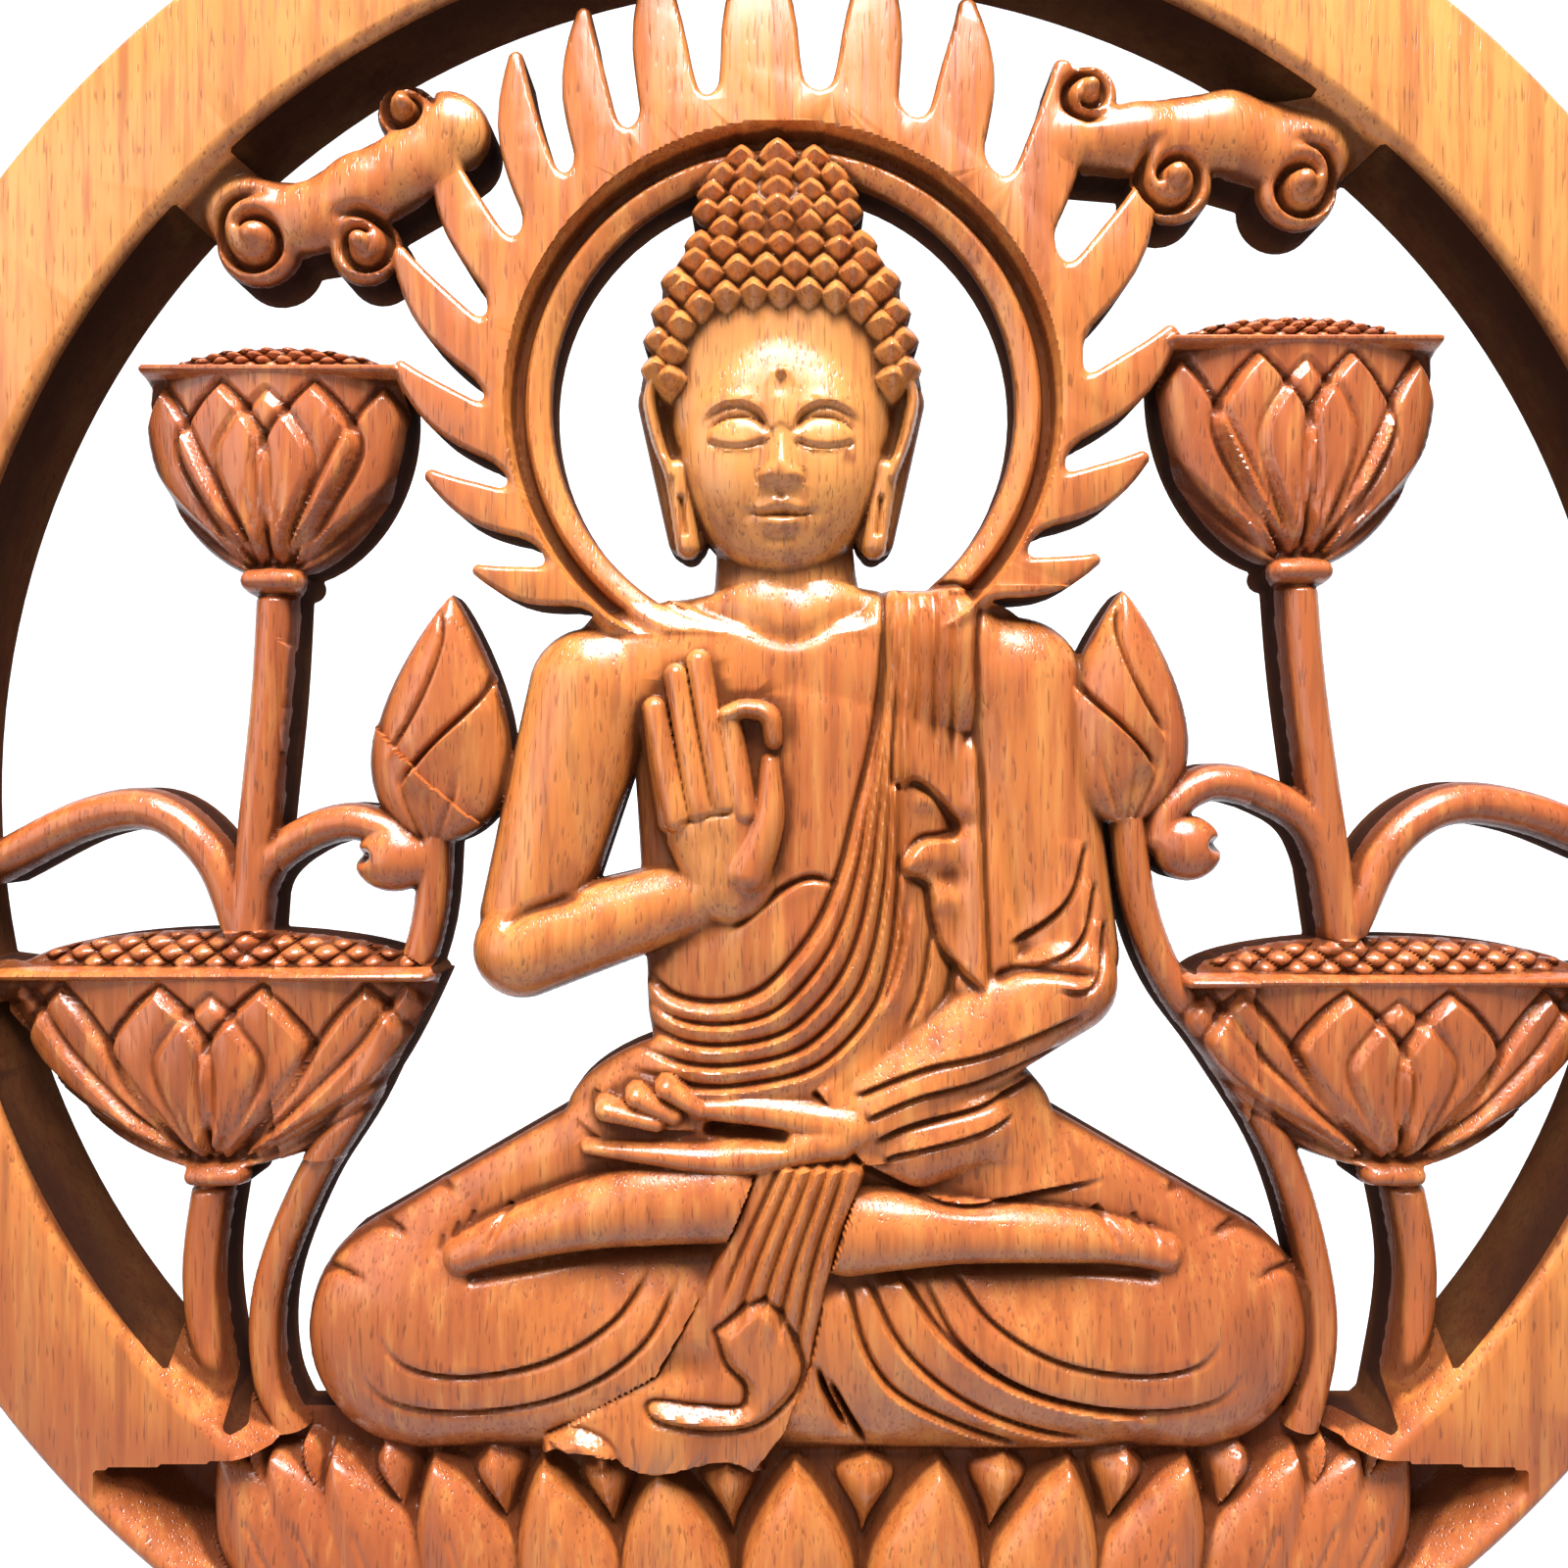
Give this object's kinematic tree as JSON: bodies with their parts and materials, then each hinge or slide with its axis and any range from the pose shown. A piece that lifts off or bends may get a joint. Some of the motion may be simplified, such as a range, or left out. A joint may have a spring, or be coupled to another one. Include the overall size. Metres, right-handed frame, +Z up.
{
  "type": "carved wall panel",
  "caption": "Round openwork wall panel carved from a wooden board: a seated robed figure in a flame-edged nimbus, on a lotus throne between lotus plants and scroll clouds, inside a plain rim.",
  "frame": {"origin": "centre of the panel's flat back, on the wall plane", "axes": "+X to the viewer's right, +Z up, +Y into the wall, so the carving faces -Y"},
  "size_m": [0.6, 0.028, 0.6],
  "materials": {
    "suar_wood": "hand carved, sanded and oiled to a satin sheen, recesses left darker"
  },
  "bodies": {
    "root": {"carved_panel": "suar_wood"}
  },
  "joints": []
}
